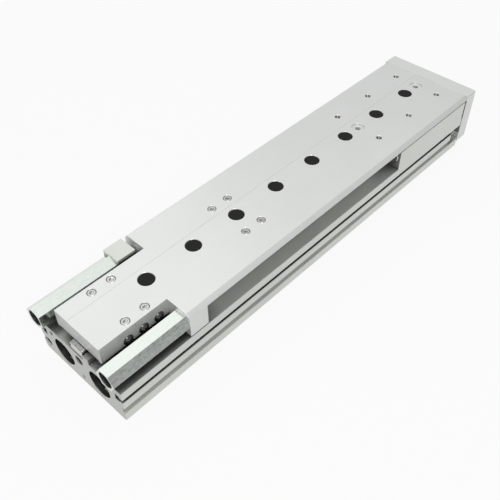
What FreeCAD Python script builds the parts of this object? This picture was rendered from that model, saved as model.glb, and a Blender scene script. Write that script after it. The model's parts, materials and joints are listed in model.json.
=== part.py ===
import FreeCAD, Part
import math
import os
import re

import Sketcher

# Pneumatic mini slide. +X is the way the table runs out, +Y the left side and +Z up.
# The origin is on the mounting face under the middle of the housing. All sizes are in millimetres.

doc = FreeCAD.newDocument("PneumaticMiniSlide")
sheet = doc.addObject("Spreadsheet::Sheet", "Sizes")
parts = []

# Driving dimensions
sizes = {
    # Housing profile
    "housing_length": 367,  # length of the extruded housing
    "housing_width": 82,  # width over the housing sides
    "deck_height": 29.5,  # flat deck above the mounting face
    "base_bevel": 1.8,  # bevel along the lower long edges
    "groove_low": 8.8,  # height of the side groove
    "groove_width": 4.7,  # width of the side groove
    "groove_depth": 1.2,  # depth of the side groove
    "slot_low": 19.7,  # height of the sensor slot mouth
    "slot_mouth": 2.8,  # width of the sensor slot mouth
    "slot_room": 5.6,  # width inside the sensor slot
    "slot_lip": 3.2,  # wall beside the sensor slot mouth
    "slot_depth": 7.2,  # depth of the sensor slot
    "slot_entry": 12.5,  # length of the opened slot end at the front
    "shoulder_width": 5.2,  # reference shoulder beside the rail
    "shoulder_height": 1.7,  # reference shoulder above the deck
    "shoulder_end_height": 4.4,  # end of that shoulder above the deck
    "shoulder_end_length": 7,  # length of that end at the rear
    "wall_setback": 1,  # tall front walls behind the front housing end
    "bore_diameter": 20,  # cylinder bore
    "bore_spacing": 35,  # distance between the two bores
    "bore_height": 14.5,  # bore axis above the mounting face
    "port_core": 4.2,  # core of an air port thread
    "port_depth": 8,  # depth of an air port thread
    "port_mouth": 7.2,  # widened mouth of an air port
    "port_mouth_depth": 0.7,  # depth of that mouth
    "side_port_edge": 5.2,  # rear port at the left, from the housing side
    "side_port_height": 9.4,  # rear port at the left, above the base
    "middle_port_height": 23,  # rear port in the middle, above the base
    "duct_bore": 3,  # drilled air duct
    "duct_depth": 9,  # open end of a drilled air duct
    "low_duct_height": 5.4,  # duct in the middle, above the base
    "high_duct_offset": 28,  # duct at the left, from the centre
    "high_duct_height": 24.7,  # duct at the left, above the base
    "duct_ball_depth": 3.5,  # centre of the duct ball behind the end face
    "base_hole_length": 160,  # base threads along the housing
    "base_hole_width": 66,  # base threads across the housing
    "base_hole_core": 5,  # core of a base thread
    "base_hole_depth": 9,  # depth of a base thread
    "dowel_bore": 7,  # centring bore in the base
    "dowel_depth": 1.6,  # depth of a centring bore in the base
    # End stops
    "stroke": 200,  # table travel between the two stops
    "stop_setback": 55.5,  # rear housing end to the stop blocks
    "stop_length": 14.8,  # length of a stop block
    "stop_block_width": 15,  # width of the housing stop block
    "stop_block_height": 18.7,  # housing stop block above the deck
    "stop_shift": 2.1,  # stop axis outside the middle of its lane
    "stop_axis_height": 10,  # stop axis above the deck
    "stop_clearance": 0.2,  # gap left before a stop pin touches
    "pin_reach": 3,  # stop pin beyond its block
    "pin_diameter": 6,  # stop pin
    "pin_head": 10.8,  # head of a stop pin
    "pin_head_length": 6,  # length of the head of a stop pin
    "pin_nose_length": 2.6,  # length of the wide nose of a stop pin
    "pin_nose_bevel": 0.8,  # bevel around that nose
    "pin_nose_clearance": 0.2,  # radial clearance of the nose in its block
    "running_clearance": 0.04,  # radial clearance of a running fit
    "sleeve_flats": 14,  # stop sleeve across flats
    "left_sleeve_length": 60,  # length of the left hexagon
    "right_sleeve_length": 58.6,  # length of the right hexagon
    "left_sleeve_clocking": 20,  # turn of the left hexagon, in degrees
    "sleeve_bore": 11.5,  # bore of a stop sleeve
    "sleeve_wall": 6,  # front wall inside a stop sleeve
    "spigot_diameter": 10,  # threaded spigot of a stop sleeve
    "spigot_length": 11.6,  # length of that spigot
    "spring_wire": 1.2,  # wire of a cushion spring
    "spring_mean": 8.4,  # mean diameter of a cushion spring
    "spring_length": 18,  # length of a cushion spring at rest
    "spring_turns": 5,  # turns of a cushion spring, a count
    "adjuster_length": 12,  # length of an adjusting screw
    "adjuster_socket": 6,  # adjusting screw socket across flats
    "adjuster_socket_depth": 6,  # depth of that socket
    "pad_diameter": 12,  # hardened stop pad
    "pad_shank": 8,  # shank of the stop pad
    "pad_shank_length": 7,  # length of that shank
    "pad_stand": 1,  # stop pad above its block
    "side_margin": 6.4,  # room left ahead of the left lug
    "wing_gap": 0.6,  # gap under the table wings
    "block_gap": 1.2,  # gap beside the front block of the table
    # Table
    "table_setback": 3.5,  # rear housing end to the table
    "yoke_gap": 1,  # front housing end to the yoke plate
    "table_rise": 20.5,  # table top above the deck
    "wing_thickness": 3.4,  # thickness of the side wings
    "wing_bevel": 2.9,  # bevel along the top edges
    "band_width": 18,  # shallow band along the table top
    "band_depth": 0.15,  # depth of that band
    "tongue_width": 42.4,  # width over the table legs
    "leg_thickness": 2.7,  # thickness of the table legs
    "leg_gap": 0.7,  # gap under the stop lugs and the solid front of the table
    "long_leg_rise": 7.2,  # bottom of the long table legs above the deck
    "roof_thickness": 7,  # table above the carriages
    "lip_thickness": 4,  # length of the rear lip
    "lip_drop": 5.3,  # rear lip below the roof
    "front_block_length": 114.5,  # length of the solid front of the table
    "front_block_width": 48.8,  # width of the solid front of the table
    "front_roof": 11,  # table above the rail at the front
    "channel_clearance": 0.9,  # front channel beside the shoulder
    "yoke_thickness": 12.5,  # thickness of the yoke plate
    "yoke_ground": 2.5,  # gap under the yoke plate
    "yoke_corner": 3,  # bevel of the lower yoke corners
    "yoke_top_corner": 1,  # bevel of the upper yoke corners
    "load_pitch": 40,  # load threads along the table
    "load_first": 14.5,  # table front to the first load threads
    "load_width": 40,  # load threads across the table
    "load_core": 4.2,  # core of a load thread
    "load_depth": 10,  # depth of a load thread
    "centring_bore": 10,  # centring bore in the table top
    "centring_depth": 1.2,  # depth of that bore
    "centring_core": 4.2,  # thread under a centring bore
    "centring_core_depth": 8,  # depth of that thread
    # Guide
    "rail_setback": 0.5,  # rail end behind the housing end
    "rail_width": 12,  # guide rail
    "rail_height": 7.1,  # height of the guide rail
    "rail_bevel": 0.6,  # bevel along the rail top
    "rail_first": 57.5,  # rear housing end to the first rail screw
    "rail_pitch": 40,  # distance between rail screws
    "rail_last": 20,  # least length of rail ahead of the last screw
    "rail_screw_head": 7,  # head of a rail screw
    "rail_screw_head_height": 4,  # height of that head
    "rail_screw_shank": 4,  # shank of a rail screw
    "rail_screw_length": 12,  # length of that shank
    "rail_screw_socket": 3,  # socket of a rail screw across flats
    "rail_screw_socket_depth": 2.4,  # depth of that socket
    "head_room": 0.5,  # room round and above a sunk screw head
    "plug_diameter": 11.3,  # plug over a rail screw
    "plug_thickness": 4,  # thickness of a plug
    "plug_sink": 0.25,  # plug below the band of the table top
    "plug_bevel": 0.4,  # bevel round a plug
    "track_height": 4.1,  # ball track above the deck
    "track_offset": 0.15,  # ball track outside the rail side
    "ball_diameter": 2,  # guide ball
    "ball_pitch": 4,  # distance between guide balls
    "ball_count": 7,  # balls in a loaded row, a count
    "track_clearance": 0.05,  # radial clearance of a ball in its track
    "carriage_setback": 31.5,  # table rear to the rear carriage
    "carriage_spacing": 102.5,  # distance between the carriages
    "carriage_length": 32,  # steel length of a carriage
    "carriage_gap": 2.3,  # carriage above the deck
    "carriage_side_gap": 0.2,  # carriage beside the table legs
    "rail_side_gap": 0.3,  # carriage beside the rail
    "rail_top_gap": 0.7,  # carriage above the rail
    "end_cap_length": 5,  # plastic end cap of a carriage
    "end_cap_inset": 0.4,  # end cap inside the carriage outline
    "wiper_thickness": 1.2,  # rubber wiper on an end cap
    "wiper_gap": 0.2,  # wiper beside the rail
    "carriage_screw_length": 15,  # carriage screws along the table
    "carriage_screw_edge": 2.3,  # carriage screws from the side of the carriage
    "carriage_screw_head": 5.5,  # head of a carriage screw
    "carriage_screw_head_height": 3,  # height of that head
    "carriage_screw_shank": 3,  # shank of a carriage screw
    "carriage_screw_reach": 5,  # carriage screw below the roof
    "carriage_screw_socket": 2.5,  # socket of a carriage screw across flats
    "carriage_screw_socket_depth": 1.2,  # depth of that socket
    "clamp_screw_pitch": 12,  # distance between side clamp screws
    "clamp_screw_shift": 1,  # middle clamp screw ahead of the carriage
    "clamp_screw_height": 10.5,  # side clamp screws above the deck
    "clamp_screw_head": 7.6,  # domed head of a side clamp screw
    "clamp_screw_dome": 2.4,  # height of that head
    "clamp_screw_shank": 4,  # shank of a side clamp screw
    "clamp_screw_socket": 2.5,  # socket of a side clamp screw across flats
    "clamp_screw_socket_depth": 1.7,  # depth of that socket
    # Pistons and rods
    "ring_setback": 3.6,  # retaining ring behind the end face
    "ring_thickness": 1.1,  # thickness of a retaining ring
    "ring_groove": 21.6,  # groove of a retaining ring
    "ring_bore": 16,  # opening of a retaining ring
    "ring_split": 5,  # split of a retaining ring
    "cap_length": 6.5,  # length of a rear cap
    "cap_pull_bore": 5,  # pulling thread in a rear cap
    "cap_pull_depth": 4,  # depth of that thread
    "cap_clearance": 0.02,  # radial clearance of a cap or bush
    "seal_section": 2,  # section of a round seal
    "seal_room": 0.3,  # extra width of a seal groove
    "seal_clearance": 0.05,  # radial clearance left at a seal
    "bush_length": 16,  # length of a rod bush
    "rod_diameter": 8,  # piston rod
    "rod_seal_diameter": 12,  # outside of a rod seal
    "rod_seal_length": 3,  # length of a rod seal
    "rod_spigot": 6,  # piston seat on the rod
    "rod_thread": 5,  # thread in the front end of a rod
    "rod_thread_depth": 14,  # depth of that thread
    "piston_clearance": 0.15,  # radial clearance of a piston
    "piston_length": 20,  # length of a piston
    "piston_gap": 1.3,  # piston nut before the rear cap
    "piston_seal_setback": 2.5,  # seal groove from the piston ends
    "magnet_length": 5,  # length of the magnet ring
    "magnet_bore": 13,  # bore of the magnet ring
    "nut_flats": 10,  # piston nut across flats
    "nut_length": 4,  # length of a piston nut
    "yoke_screw_width": 34,  # yoke screws across the yoke
    "yoke_screw_low": 4,  # lower yoke screws above the deck
    "yoke_screw_high": 14,  # upper yoke screws above the deck
    "yoke_screw_head": 8.5,  # head of a yoke screw
    "yoke_screw_head_height": 5,  # height of that head
    "yoke_screw_shank": 5,  # shank of a yoke or rod screw
    "yoke_screw_bite": 10,  # yoke screw in the table
    "yoke_screw_socket": 4,  # socket of a yoke screw across flats
    "yoke_screw_socket_depth": 3,  # depth of that socket
}
for row, (name, value) in enumerate(sizes.items(), start=1):
    sheet.set(f"A{row}", name.replace("_", " "))
    sheet.set(f"B{row}", str(value))
    sheet.setAlias(f"B{row}", name)
count_row = len(sizes) + 1
sheet.set(f"A{count_row}", "rail screw count")
sheet.set(f"B{count_row}", "=floor((housing_length - rail_first - rail_last) / rail_pitch) + 1")
sheet.setAlias(f"B{count_row}", "rail_screw_count")
doc.recompute()

# Places that several pieces share, as formulas of the sizes
HALF_WIDTH = "(housing_width / 2)"
REAR = "(-housing_length / 2)"
FRONT = "(housing_length / 2)"
TABLE_REAR = f"({REAR} + table_setback)"
TABLE_FRONT = f"({FRONT} + yoke_gap)"
TABLE_TOP = "(deck_height + table_rise)"
WING_BOTTOM = f"({TABLE_TOP} - wing_thickness)"
ROOF = f"({TABLE_TOP} - roof_thickness)"
LEG_BOTTOM = "(deck_height + leg_gap)"
LONG_LEG_BOTTOM = "(deck_height + long_leg_rise)"
TONGUE_HALF = "(tongue_width / 2)"
CHANNEL_HALF = "(tongue_width / 2 - leg_thickness)"
BAND_TOP = f"({TABLE_TOP} - band_depth)"
STOP_REAR = f"({REAR} + stop_setback)"
STOP_FRONT = f"({STOP_REAR} + stop_length)"
STOP_AXIS = "(deck_height + stop_axis_height)"
STOP_Y = f"(({TONGUE_HALF} + {HALF_WIDTH}) / 2 + stop_shift)"
PIN_TIP = f"({STOP_FRONT} + pin_reach)"
LEFT_LUG_REAR = f"({PIN_TIP} + stop_clearance)"
PAD_FACE = f"({PIN_TIP} + stroke + stop_clearance)"
RIGHT_BLOCK_REAR = f"({PAD_FACE} + pad_stand)"
LEFT_BLOCK_REAR = f"({LEFT_LUG_REAR} + stop_length + stroke + side_margin)"
BLOCK_INNER = "(front_block_width / 2 + block_gap)"
RAIL_TOP = "(deck_height + rail_height)"
TRACK_Y = "(rail_width / 2 + track_offset)"
TRACK_Z = "(deck_height + track_height)"
TRACK_DIAMETER = "(ball_diameter + 2 * track_clearance)"
CARRIAGE_HALF = f"({CHANNEL_HALF} - carriage_side_gap)"
CARRIAGE_BOTTOM = "(deck_height + carriage_gap)"
REAR_CARRIAGE = f"({TABLE_REAR} + carriage_setback)"
FRONT_CARRIAGE = f"({REAR_CARRIAGE} + carriage_spacing)"
BORE_Y = "(bore_spacing / 2)"
CAP_OUTER = f"({REAR} + ring_setback + ring_thickness)"
CAP_INNER = f"({CAP_OUTER} + cap_length)"
BUSH_FRONT = f"({FRONT} - ring_setback - ring_thickness)"
PISTON_REAR = f"({CAP_INNER} + piston_gap + nut_length)"
PISTON_FRONT = f"({PISTON_REAR} + piston_length)"
SEAL_FLOOR = "(bore_diameter / 2 - seal_clearance - seal_section)"
CLAMP_Z = "(deck_height + clamp_screw_height)"

ALONG_X = FreeCAD.Rotation(FreeCAD.Vector(0, 1, 0), 90)
TO_RIGHT = FreeCAD.Rotation(FreeCAD.Vector(1, 0, 0), 90)
FLAT_ON_TOP = 30  # turn of a hexagon that brings a flat to the top, in degrees


def formula(text):
    """Point every size name in a formula at the sheet."""
    return re.sub(r"\b[a-z]\w*\b(?!\s*\()", r"Sizes.\g<0>", text)


def bind(thing, prop, text):
    thing.setExpression(prop, formula(text))


def place(thing, x="0", y="0", z="0", turn=None):
    """Turn a piece and tie its place to formulas."""
    if turn is not None:
        thing.Placement = FreeCAD.Placement(FreeCAD.Vector(), turn)
    for axis, text in zip("xyz", (x, y, z)):
        bind(thing, f"Placement.Base.{axis}", text)
    return thing


def node(thing, label):
    """Name a finished sub-part and list it for export."""
    thing.Label = label
    parts.append(thing)
    return thing


def new_body(name):
    return doc.addObject("PartDesign::Body", name)


def sketch_on(body, role, offset="0"):
    """Start a sketch on one of the body's own origin planes."""
    plane = [feature for feature in body.Origin.OriginFeatures if feature.Role == role][0]
    sketch = body.newObject("Sketcher::SketchObject", f"{body.Name}_sketch")
    sketch.AttachmentSupport = [(plane, "")]
    sketch.MapMode = "FlatFace"
    bind(sketch, "AttachmentOffset.Base.z", offset)
    return sketch


def fix_point(sketch, edge, end, point):
    """Hold one point of a sketch at two formulas."""
    for kind, text in zip(("DistanceX", "DistanceY"), point):
        number = sketch.addConstraint(Sketcher.Constraint(kind, edge, end, 1.0))
        bind(sketch, f"Constraints[{number}]", text)


def outline(sketch, points):
    """Draw a closed outline; the constraints pull its corners from a start circle into place."""
    first = sketch.GeometryCount
    total = len(points)
    turns = [2 * math.pi * index / total for index in range(total)]
    starts = [FreeCAD.Vector(math.cos(turn), math.sin(turn), 0) for turn in turns]
    for index in range(total):
        sketch.addGeometry(Part.LineSegment(starts[index], starts[(index + 1) % total]))
    for index in range(total):
        following = first + (index + 1) % total
        sketch.addConstraint(Sketcher.Constraint("Coincident", first + index, 2, following, 1))
    for index, point in enumerate(points):
        fix_point(sketch, first + index, 1, point)


def rectangle(sketch, low, high):
    outline(sketch, [low, (high[0], low[1]), high, (low[0], high[1])])


def circles(sketch, centres, diameter):
    for index, centre in enumerate(centres):
        start = FreeCAD.Vector(3 * index, 0, 0)
        edge = sketch.addGeometry(Part.Circle(start, FreeCAD.Vector(0, 0, 1), 1.0))
        number = sketch.addConstraint(Sketcher.Constraint("Diameter", edge, 2.0))
        bind(sketch, f"Constraints[{number}]", diameter)
        fix_point(sketch, edge, 3, centre)


def hexagon(sketch, flats):
    side = f"{flats} / sqrt(3)"
    half = f"{flats} / 2"
    points = [(side, "0"), (f"{side} / 2", half), (f"-{side} / 2", half)]
    points += [(f"-{side}", "0"), (f"-{side} / 2", f"-{half}"), (f"{side} / 2", f"-{half}")]
    outline(sketch, points)


def pad(body, sketch, length, reverse=False):
    feature = body.newObject("PartDesign::Pad", f"{body.Name}_pad")
    feature.Profile = sketch
    feature.Reversed = reverse
    bind(feature, "Length", length)
    return feature


def pocket(body, sketch, depth=None, reverse=False):
    """Cut a sketch into a body, through all when no depth is given, and see that it removed something."""
    doc.recompute()
    before = body.Shape.Volume
    feature = body.newObject("PartDesign::Pocket", f"{body.Name}_pocket")
    feature.Profile = sketch
    feature.Reversed = reverse
    if depth is None:
        feature.Type = "ThroughAll"
    else:
        bind(feature, "Length", depth)
    doc.recompute()
    if not body.Shape.Volume < before:
        raise RuntimeError(f"{feature.Name} removed nothing")
    return feature


def row_along_x(body, feature, pitch, count):
    """Repeat a cut along the length of the slide."""
    pattern = body.newObject("PartDesign::LinearPattern", f"{body.Name}_row")
    pattern.Originals = [feature]
    axis = [item for item in body.Origin.OriginFeatures if item.Role == "X_Axis"][0]
    pattern.Direction = (axis, [""])
    bind(pattern, "Length", f"{pitch} * ({count} - 1)")
    bind(pattern, "Occurrences", count)
    body.Tip = pattern
    return pattern


def turned(name, points, axis="H_Axis"):
    """Make a turned piece from its half section: along X and out, or out and along Z."""
    body = new_body(name)
    sketch = sketch_on(body, "XZ_Plane")
    outline(sketch, points)
    feature = body.newObject("PartDesign::Revolution", f"{name}_turned")
    feature.Profile = sketch
    feature.ReferenceAxis = (sketch, [axis])
    feature.Angle = 360
    return body


def tube(name, outer, inner, length):
    """Make a plain ring along X from its two diameters."""
    inside = f"{inner} / 2"
    outside = f"{outer} / 2"
    return turned(name, [("0", inside), (length, inside), (length, outside), ("0", outside)])


def socket_screw(name, prefix, length):
    """Make a socket head screw that hangs down from the top of its head."""
    head = f"{prefix}_head / 2"
    height = f"{prefix}_head_height"
    shank = f"{prefix}_shank / 2"
    tip = f"-{height} - ({length})"
    points = [("0", "0"), (head, "0"), (head, f"-{height}")]
    points += [(shank, f"-{height}"), (shank, tip), ("0", tip)]
    body = turned(name, points, "V_Axis")
    sketch = sketch_on(body, "XY_Plane")
    hexagon(sketch, f"{prefix}_socket")
    pocket(body, sketch, f"{prefix}_socket_depth")
    return body


def group(label, master, places, turn=None):
    """Place one piece several times and keep the copies together as one sub-part."""
    copies = []
    for number, spot in enumerate(places, start=1):
        copy = doc.addObject("App::Link", f"{label}_{number}")
        copy.LinkedObject = master
        place(copy, *spot, turn=turn or FreeCAD.Rotation())
        copies.append(copy)
    whole = doc.addObject("Part::Compound", label)
    whole.Links = copies
    return node(whole, label)


def both_sides(text):
    return [f"{text}", f"-{text}"]


def four_corners(x_half, y_half, x_middle="0"):
    along = [f"{x_middle} + {x_half}", f"{x_middle} - {x_half}"]
    return [(x, y) for x in along for y in both_sides(y_half)]


# Housing: an extruded body with two bores, sensor slots and milled remains of its tall side walls
room_low = "(slot_low - (slot_room - slot_mouth) / 2)"
room_high = f"({room_low} + slot_room)"
slot_high = "(slot_low + slot_mouth)"
groove_high = "(groove_low + groove_width)"
groove_floor = f"({HALF_WIDTH} - groove_depth)"
lip = f"({HALF_WIDTH} - slot_lip)"
slot_floor = f"({HALF_WIDTH} - slot_depth)"
side_points = [(f"{HALF_WIDTH} - base_bevel", "0"), (HALF_WIDTH, "base_bevel")]
side_points += [(HALF_WIDTH, "groove_low"), (groove_floor, "groove_low")]
side_points += [(groove_floor, groove_high), (HALF_WIDTH, groove_high)]
side_points += [(HALF_WIDTH, "slot_low"), (lip, "slot_low"), (lip, room_low), (slot_floor, room_low)]
side_points += [(slot_floor, room_high), (lip, room_high), (lip, slot_high), (HALF_WIDTH, slot_high)]
side_points += [(HALF_WIDTH, "deck_height")]
shoulder_near = "-rail_width / 2"
shoulder_far = "(-rail_width / 2 - shoulder_width)"
shoulder_top = "(deck_height + shoulder_height)"
deck_points = [(shoulder_near, "deck_height"), (shoulder_near, shoulder_top)]
deck_points += [(shoulder_far, shoulder_top), (shoulder_far, "deck_height")]
mirrored_side = [(f"-({across})", up) for across, up in reversed(side_points)]

housing = new_body("Housing")
profile = sketch_on(housing, "YZ_Plane", REAR)
outline(profile, side_points + deck_points + mirrored_side)
pad(housing, profile, "housing_length")
front_walls = sketch_on(housing, "XY_Plane", "deck_height")
wall_front = f"({FRONT} - wall_setback)"
rectangle(front_walls, (RIGHT_BLOCK_REAR, f"-{HALF_WIDTH}"), (wall_front, f"-{BLOCK_INNER}"))
rectangle(front_walls, (LEFT_BLOCK_REAR, BLOCK_INNER), (wall_front, HALF_WIDTH))
pad(housing, front_walls, "table_rise - wing_thickness - wing_gap")
stop_wall = sketch_on(housing, "XY_Plane", "deck_height")
rectangle(stop_wall, (STOP_REAR, f"{HALF_WIDTH} - stop_block_width"), (STOP_FRONT, HALF_WIDTH))
pad(housing, stop_wall, "stop_block_height")
shoulder_end = sketch_on(housing, "XY_Plane", "deck_height")
rectangle(shoulder_end, (REAR, shoulder_far), (f"{REAR} + shoulder_end_length", shoulder_near))
pad(housing, shoulder_end, "shoulder_end_height")

bore_centres = [(across, "bore_height") for across in both_sides(BORE_Y)]
bores = sketch_on(housing, "YZ_Plane", REAR)
circles(bores, bore_centres, "bore_diameter")
pocket(housing, bores, reverse=True)
for groove_start in (f"{REAR} + ring_setback", BUSH_FRONT):
    ring_grooves = sketch_on(housing, "YZ_Plane", groove_start)
    circles(ring_grooves, bore_centres, "ring_groove")
    pocket(housing, ring_grooves, "ring_thickness", reverse=True)

port_centres = [(f"{HALF_WIDTH} - side_port_edge", "side_port_height"), ("0", "middle_port_height")]
for diameter, depth in (("port_core", "port_depth"), ("port_mouth", "port_mouth_depth")):
    ports = sketch_on(housing, "YZ_Plane", REAR)
    circles(ports, port_centres, diameter)
    pocket(housing, ports, depth, reverse=True)
duct_centres = [("0", "low_duct_height"), ("high_duct_offset", "high_duct_height")]
ducts = sketch_on(housing, "YZ_Plane", REAR)
circles(ducts, duct_centres, "duct_bore")
pocket(housing, ducts, "duct_depth", reverse=True)

stop_bore = sketch_on(housing, "YZ_Plane", STOP_REAR)
circles(stop_bore, [(STOP_Y, STOP_AXIS)], "spigot_diameter")
pocket(housing, stop_bore, "stop_length", reverse=True)
pad_seat = sketch_on(housing, "YZ_Plane", RIGHT_BLOCK_REAR)
circles(pad_seat, [(f"-{STOP_Y}", STOP_AXIS)], "pad_shank")
pocket(housing, pad_seat, "pad_shank_length", reverse=True)

for plane_offset, cuts_right in ((HALF_WIDTH, False), (f"-{HALF_WIDTH}", True)):
    slot_end = sketch_on(housing, "XZ_Plane", plane_offset)
    rectangle(slot_end, (f"{FRONT} - slot_entry", "groove_low"), (FRONT, slot_high))
    pocket(housing, slot_end, "slot_depth", reverse=cuts_right)

rail_threads = sketch_on(housing, "XY_Plane", "deck_height")
circles(rail_threads, [(f"{REAR} + rail_first", "0")], "rail_screw_shank")
thread_depth = "rail_screw_length - rail_height + rail_screw_head_height + 2 * head_room"
first_thread = pocket(housing, rail_threads, thread_depth)
row_along_x(housing, first_thread, "rail_pitch", "rail_screw_count")
base_threads = sketch_on(housing, "XY_Plane")
circles(base_threads, four_corners("base_hole_length / 2", "base_hole_width / 2"), "base_hole_core")
pocket(housing, base_threads, "base_hole_depth", reverse=True)
dowel_bores = sketch_on(housing, "XY_Plane")
circles(dowel_bores, [("base_hole_length / 2", "0"), ("-base_hole_length / 2", "0")], "dowel_bore")
pocket(housing, dowel_bores, "dowel_depth", reverse=True)
node(housing, "housing")

duct_ball = doc.addObject("Part::Sphere", "DuctBall")
bind(duct_ball, "Radius", "duct_bore / 2")
group("duct_balls", duct_ball, [(f"{REAR} + duct_ball_depth", across, up) for across, up in duct_centres])

# Guide rail: hardened steel with a ball track in each side and sunk screws
rail_half = "rail_width / 2"
rail_points = [(f"-{rail_half}", "deck_height"), (rail_half, "deck_height")]
rail_points += [(rail_half, f"{RAIL_TOP} - rail_bevel"), (f"{rail_half} - rail_bevel", RAIL_TOP)]
rail_points += [(f"rail_bevel - {rail_half}", RAIL_TOP), (f"-{rail_half}", f"{RAIL_TOP} - rail_bevel")]
track_centres = [(across, TRACK_Z) for across in both_sides(TRACK_Y)]
rail = new_body("GuideRail")
profile = sketch_on(rail, "YZ_Plane", f"{REAR} + rail_setback")
outline(profile, rail_points)
pad(rail, profile, "housing_length - 2 * rail_setback")
tracks = sketch_on(rail, "YZ_Plane", f"{REAR} + rail_setback")
circles(tracks, track_centres, TRACK_DIAMETER)
pocket(rail, tracks, reverse=True)
for diameter, depth in (("rail_screw_shank + head_room", None),
                        ("rail_screw_head + 2 * head_room", "rail_screw_head_height + head_room")):
    screw_seat = sketch_on(rail, "XY_Plane", RAIL_TOP)
    circles(screw_seat, [(f"{REAR} + rail_first", "0")], diameter)
    first_seat = pocket(rail, screw_seat, depth)
    row_along_x(rail, first_seat, "rail_pitch", "rail_screw_count")
node(rail, "guide_rail")

rail_screw = socket_screw("RailScrew", "rail_screw", "rail_screw_length")
rail_screws = range(int(sheet.rail_screw_count))
row_places = [f"{REAR} + rail_first + {index} * rail_pitch" for index in rail_screws]
group("rail_screws", rail_screw, [(along, "0", f"{RAIL_TOP} - head_room") for along in row_places])

# Rear caps, rod bushes and what seals and holds them in the bores
cap_radius = "(bore_diameter / 2 - cap_clearance)"
cap_seal_start = "(cap_length / 2 - seal_section / 2 - seal_room / 2)"
cap_seal_end = "(cap_length / 2 + seal_section / 2 + seal_room / 2)"
cap_points = [("0", "cap_pull_bore / 2"), ("0", cap_radius), (cap_seal_start, cap_radius)]
cap_points += [(cap_seal_start, SEAL_FLOOR), (cap_seal_end, SEAL_FLOOR), (cap_seal_end, cap_radius)]
cap_points += [("cap_length", cap_radius), ("cap_length", "0"), ("cap_pull_depth", "0")]
cap_points += [("cap_pull_depth", "cap_pull_bore / 2")]
rod_hole = "(rod_diameter / 2 + running_clearance)"
bush_points = [("0", "rod_seal_diameter / 2"), ("0", cap_radius), ("bush_length", cap_radius)]
bush_points += [("bush_length", rod_hole), ("rod_seal_length", rod_hole)]
bush_points += [("rod_seal_length", "rod_seal_diameter / 2")]
sides = (("left", BORE_Y), ("right", f"-{BORE_Y}"))
for side, across in sides:
    cap = turned(f"{side.title()}RearCap", cap_points)
    node(place(cap, CAP_OUTER, across, "bore_height"), f"{side}_rear_cap")
    bush = turned(f"{side.title()}RodBush", bush_points)
    node(place(bush, f"{BUSH_FRONT} - bush_length", across, "bore_height"), f"{side}_rod_bush")

round_seal = doc.addObject("Part::Torus", "RoundSeal")
bind(round_seal, "Radius1", f"{SEAL_FLOOR} + seal_section / 2")
bind(round_seal, "Radius2", "seal_section / 2")
cap_seal_places = [(f"{CAP_OUTER} + cap_length / 2", across, "bore_height") for side, across in sides]
group("rear_cap_seals", round_seal, cap_seal_places, ALONG_X)
rod_seal = tube("RodSeal", "rod_seal_diameter", "(rod_diameter + 2 * seal_clearance)", "rod_seal_length")
bush_rear = f"{BUSH_FRONT} - bush_length"
group("rod_seals", rod_seal, [(bush_rear, across, "bore_height") for side, across in sides])

ring = tube("RetainingRing", "ring_groove", "ring_bore", "ring_thickness")
ring_split = sketch_on(ring, "YZ_Plane")
rectangle(ring_split, ("-ring_split / 2", "-ring_groove"), ("ring_split / 2", "0"))
pocket(ring, ring_split, "ring_thickness", reverse=True)
ring_starts = {"rear_retaining_rings": f"{REAR} + ring_setback", "front_retaining_rings": BUSH_FRONT}
for label, along in ring_starts.items():
    group(label, ring, [(along, across, "bore_height") for side, across in sides])

# Pistons, rods and their small pieces
piston_radius = "(bore_diameter / 2 - piston_clearance)"
groove_room = "(seal_section + seal_room)"
seal_low = "piston_seal_setback"
seal_high = f"(piston_seal_setback + {groove_room})"
magnet_low = "(piston_length / 2 - magnet_length / 2)"
magnet_high = "(piston_length / 2 + magnet_length / 2)"
spigot = "(rod_spigot / 2)"
grooves = [(seal_low, seal_high, SEAL_FLOOR), (magnet_low, magnet_high, "magnet_bore / 2")]
grooves += [(f"piston_length - {seal_high}", f"piston_length - {seal_low}", SEAL_FLOOR)]
piston_points = [("0", spigot), ("0", piston_radius)]
for start, end, floor in grooves:
    piston_points += [(start, piston_radius), (start, floor), (end, floor), (end, piston_radius)]
piston_points += [("piston_length", piston_radius), ("piston_length", spigot)]
rod_length = f"({TABLE_FRONT} - {PISTON_REAR} + nut_length)"
rod_shoulder = "(nut_length + piston_length)"
thread_end = f"({rod_length} - rod_thread_depth)"
rod_points = [("0", "0"), ("0", spigot), (rod_shoulder, spigot), (rod_shoulder, "rod_diameter / 2")]
rod_points += [(rod_length, "rod_diameter / 2"), (rod_length, "rod_thread / 2")]
rod_points += [(thread_end, "rod_thread / 2"), (thread_end, "0")]
for side, across in sides:
    piston = turned(f"{side.title()}Piston", piston_points)
    node(place(piston, PISTON_REAR, across, "bore_height"), f"{side}_piston")
    rod = turned(f"{side.title()}Rod", rod_points)
    node(place(rod, f"{PISTON_REAR} - nut_length", across, "bore_height"), f"{side}_piston_rod")

seal_middles = [f"{PISTON_REAR} + piston_seal_setback + {groove_room} / 2"]
seal_middles += [f"{PISTON_FRONT} - piston_seal_setback - {groove_room} / 2"]
seal_places = [(along, across, "bore_height") for along in seal_middles for side, across in sides]
group("piston_seals", round_seal, seal_places, ALONG_X)
magnet = tube("Magnet", "(bore_diameter - 2 * piston_clearance)", "magnet_bore", "magnet_length")
magnet_rear = f"{PISTON_REAR} + {magnet_low}"
group("piston_magnets", magnet, [(magnet_rear, across, "bore_height") for side, across in sides])
nut = new_body("PistonNut")
nut_outline = sketch_on(nut, "XY_Plane")
hexagon(nut_outline, "nut_flats")
circles(nut_outline, [("0", "0")], "rod_spigot")
pad(nut, nut_outline, "nut_length")
nut_rear = f"{PISTON_REAR} - nut_length"
group("piston_nuts", nut, [(nut_rear, across, "bore_height") for side, across in sides], ALONG_X)

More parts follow.
